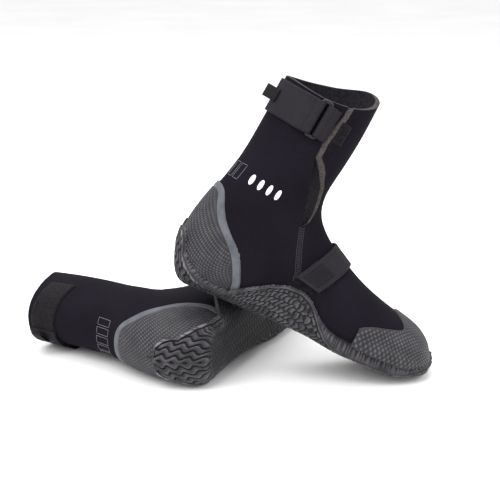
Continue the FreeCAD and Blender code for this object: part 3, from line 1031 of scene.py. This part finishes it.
def ring(boot):
    """Rectangular ring of glossy plastic with thicker ends."""
    path = rounded_loop(RING_SIZE[0] - 2 * RING_BAR, RING_SIZE[1] - 2 * RING_BAR, 2.4)
    d, _ = cuff_band()
    p = np.array(RING_AT) + path[:, :1] * np.cross(Y, d) + path[:, 1:] * d
    t = unit(np.roll(p, -1, 0) - np.roll(p, 1, 0))
    flat = np.cross(t, -Y)[:, None]
    ang = (np.arange(14) * 2 * np.pi / 14)[None, :, None]
    thick = RING_BAR * (1.0 + 0.25 * smooth(np.abs(path[:, 1]), RING_SIZE[1] * 0.4, RING_SIZE[1] * 0.46))
    across = flat * spow(np.cos(ang), 0.7) * RING_BAR
    upward = -Y * spow(np.sin(ang), 0.7) * thick[:, None, None] * 0.85
    loops = p[:, None] + across + upward
    b = Builder(boot)
    b.grid(np.concatenate([loops, loops[:1]]), wrap=True)
    fit_piece(b.make("cuff_ring_plastic", [MAT["ring"]]), boot, "shaft", ["cuff_ring"])


def tether(boot, wide):
    """Short webbing loop that comes out from under the flap and holds the ring's front bar."""
    v = spread(v_at_x(boot, 89.5), v_at_x(boot, 82.0), 8)
    start = band_points(boot, v, wide * TURN_SHARE, cuff_band(), 1.0 + 3.6 * smooth(v, v[0], v[-1]))
    out = outward(start) * (WEBBING / 2)
    obj = slab(boot, "ring_tether_webbing", start + out, start - out, arc(start[:, 7]), wide, "webbing")
    fit_piece(obj, boot, "shaft", ["ring_webbing"])
    bar_fold(boot, "ring_tether_turn", start[-1], -1, 7.0, wide)


def pull_tab(boot, top, n):
    """A small loop of webbing sewn to the strap's free end."""
    row = -16
    middle = len(top[0]) // 2
    base = top[row, middle]
    away = unit(base - top[row - 1, middle])
    out = n[row, middle]
    d, _ = cuff_band()
    t = 2 * np.pi * spread(0, 1, 30)[:, None]
    reach = 9.5 - 9.5 * np.cos(t)
    path = base + away * reach + out * (1.4 + 1.5 * np.sin(t) + 0.16 * reach)
    half = np.cross(unit(np.gradient(path, axis=0)), d)[:, None] * 0.5
    wide = spread(-6.5, 6.5, 7)
    strip = path[:, None] + d * wide[:, None]
    run = spread(0, 40, 30)
    obj = slab(boot, "cuff_pull_tab_webbing", strip + half, strip - half, run, wide, "dark_webbing")
    fit_piece(obj, boot, "cuff_strap", ["cuff_pull_tab"])


def flap_patch(boot):
    """Stitched rectangle of webbing on the front flap."""
    d, _ = cuff_band()
    band = (d, d @ np.array([98.0, 0, 207.0]))
    v = np.array([v_at_x(boot, x) for x in spread(95.0, 105.0, 9)])
    lift = 3.0 * smooth(v, 1.6, 2.5)
    top = ribbon(boot, "flap_patch_webbing", v, spread(-11, 11, 12), band, lift - 0.4, lift + 1.0, "loop",
                 "flap_patch", "shaft")
    thread = tube(boot, "flap_patch_stitches", border(top, -outward(top)), 0.25, "dark_thread")
    fit_piece(thread, boot, "shaft")


def instep(boot):
    """Strap over the instep: fixed inner half, outer half that peels off its loop pad."""
    band = (unit(np.array([26.0, 0, -18.5])), 75.6)
    wide = spread(-13.3, 13.3, 13)
    level = INSTEP_LEVEL
    over = level + WEBBING
    v = spread(-0.62, np.pi / 2 - 0.04, 60)
    ribbon(boot, "instep_base_webbing", v, wide, band, level - 0.8, over - 0.8, "webbing",
           "instep_strap_base", "foot")
    end = v_at_z(boot, 51.0, band, 1.8, 3.9)
    v = spread(np.pi / 2 + 0.03, end, 70)
    top = ribbon(boot, "instep_strap_webbing", v, wide, band, level, over, "webbing", "instep_strap",
                 "instep_strap")
    v = spread(end - 0.47, end - 0.07, 24)
    patch = ribbon(boot, "instep_end_patch", v, spread(-8.5, 8.5, 9), band, over - 0.2, over + 0.6,
                   "dark_webbing", None, "instep_strap")
    lines = border(patch, outward(patch)) + stitches(top[-2, 1:-1], outward(top)[-2, 1:-1])
    thread = tube(boot, "instep_strap_stitches", lines, 0.3, "thread")
    fit_piece(thread, boot, "instep_strap")
    v = spread(end - 0.42, end - 0.02, 26)
    ribbon(boot, "instep_hook_square", v, spread(-12.5, 12.5, 11), band, PAD + 0.5, level + 0.02, "hook",
           "instep_hook_patch", "instep_strap")

    def pad_height(p):
        d = on_skin(inside_distance(LOOP_PATCH, p), p)
        return profile(d, PAD, 1.0), 0 * d

    pad = skin_layer(boot, "instep_loop_pad", spread(0.38, 0.58, 90), spread(2.3, np.pi + 0.9, 110),
                     pad_height, "loop")
    fit_piece(pad, boot, "foot", ["instep_loop_patch"])


def seam(boot):
    """Zigzag flatlock stitching down the side seam, from the slit to the sole, on both sides of the foot."""
    for outer, name in ((True, "outer_seam_stitches"), (False, "inner_seam_stitches")):
        u = spread(0.49, 0.64, 200)
        v = boot.line_v(FOOT_SEAM + [(102, 104)], u, outer)
        p = boot.surf(u, v)
        n = boot.normal(u, v)
        length = arc(p)
        s = np.arange(0, length[-1], 0.3)
        side = walk(np.cross(unit(np.gradient(p, axis=0)), n), length, s)
        p = walk(p, length, s)
        n = walk(n, length, s)
        zigzag = p + side * 2.6 * fine_wave(s, 2.6)[:, None] + n * 0.25
        edges = [p + side * way * SEAM_HALF + n * 0.2 for way in (1, -1)]
        obj = tube(boot, name, [zigzag] + edges, 0.26, "thread", 5)
        fit_piece(obj, boot, "foot")


def marks(boot):
    """Plain printed decoration: slanted bars on the outer side, a row of outlined blocks round the back."""
    bar = [(34, 138), (39, 137.5), (36, 122), (31, 122.5)]
    bars = [[(x + 10 * k, z - 1.5 * k) for x, z in bar] for k in range(4)]

    def bar_height(p):
        best = np.max([inside_distance(bar, p) for bar in bars], 0)
        return np.clip(best, -0.3, 0.12), 0 * best

    obj = skin_layer(boot, "side_print", spread(0.76, 0.88, 120), spread(2.75, 4.25, 170), bar_height,
                     "white_print", sink=0.1)
    fit_piece(obj, boot, "shaft", bend=True)
    paths = []
    for k in range(5):
        start = 4.05 + k * 0.27
        corners = [(start, 141), (start + 0.2, 141), (start + 0.2, 124), (start, 124), (start, 141)]
        v = np.concatenate([spread(a[0], b[0], 8) for a, b in zip(corners[:-1], corners[1:])])
        z = np.concatenate([spread(a[1], b[1], 8) for a, b in zip(corners[:-1], corners[1:])])
        u = boot.solve_u(v, (0, 0, 1), z, 0.7)
        paths.append(boot.surf(u, v, 0.05))
    obj = tube(boot, "back_print", paths, 0.28, "grey_print", 5)
    fit_piece(obj, boot, "shaft", bend=True)


def inner_parts(boot):
    """Footbed and midsole keep their CAD shape."""
    for node, material in (("insole", "board"), ("midsole", "sole")):
        obj = frame["nodes"][boot.side + "_" + node]
        for slot in obj.material_slots:
            slot.material = MAT[material]


def studio():
    """Pale floor, soft light and the camera."""
    floor = Nodes("studio_floor", 0.9, specular=0.1)
    floor.colour(floor.ramp(floor.noise(3, 2), [(0.3, (0.86, 0.86, 0.86, 1)), (0.7, (0.9, 0.9, 0.9, 1))]))
    bpy.ops.mesh.primitive_plane_add(size=30, location=(0, 0, -0.0002))
    plane = bpy.context.object
    plane.name = "floor"
    plane.data.materials.append(floor.mat)
    world = bpy.data.worlds.new("studio")
    bpy.context.scene.world = world
    world.use_nodes = True
    world.node_tree.nodes["Background"].inputs["Color"].default_value = (1, 1, 1, 1)
    world.node_tree.nodes["Background"].inputs["Strength"].default_value = 1.06
    lights = (("key", (-0.9, -1.1, 1.6), 1.4, 34), ("fill", (1.4, -0.9, 1.1), 1.6, 16),
              ("top", (0.1, 0.5, 1.9), 1.6, 26))
    for name, place, size, power in lights:
        light = bpy.data.lights.new(name, "AREA")
        light.size = size
        light.energy = power
        obj = bpy.data.objects.new(name, light)
        obj.location = place
        look = Vector((0.0, -0.05, 0.1)) - Vector(place)
        obj.rotation_euler = look.to_track_quat("-Z", "Y").to_euler()
        bpy.context.scene.collection.objects.link(obj)
    camera = bpy.data.cameras.new("camera")
    camera.lens = 85
    camera.sensor_width = 36
    obj = bpy.data.objects.new("camera", camera)
    obj.location = (0.02775, -1.2627, 0.4801)
    obj.rotation_euler = (math.radians(90 - 16.03), 0, 0)
    bpy.context.scene.collection.objects.link(obj)
    bpy.context.scene.camera = obj
    bpy.context.scene.view_settings.view_transform = "Standard"


for side_name in ("left", "right"):
    boot_form = Boot(side_name)
    upper(boot_form)
    caps(boot_form)
    sole(boot_form)
    cuff(boot_form)
    instep(boot_form)
    seam(boot_form)
    marks(boot_form)
    inner_parts(boot_form)
studio()
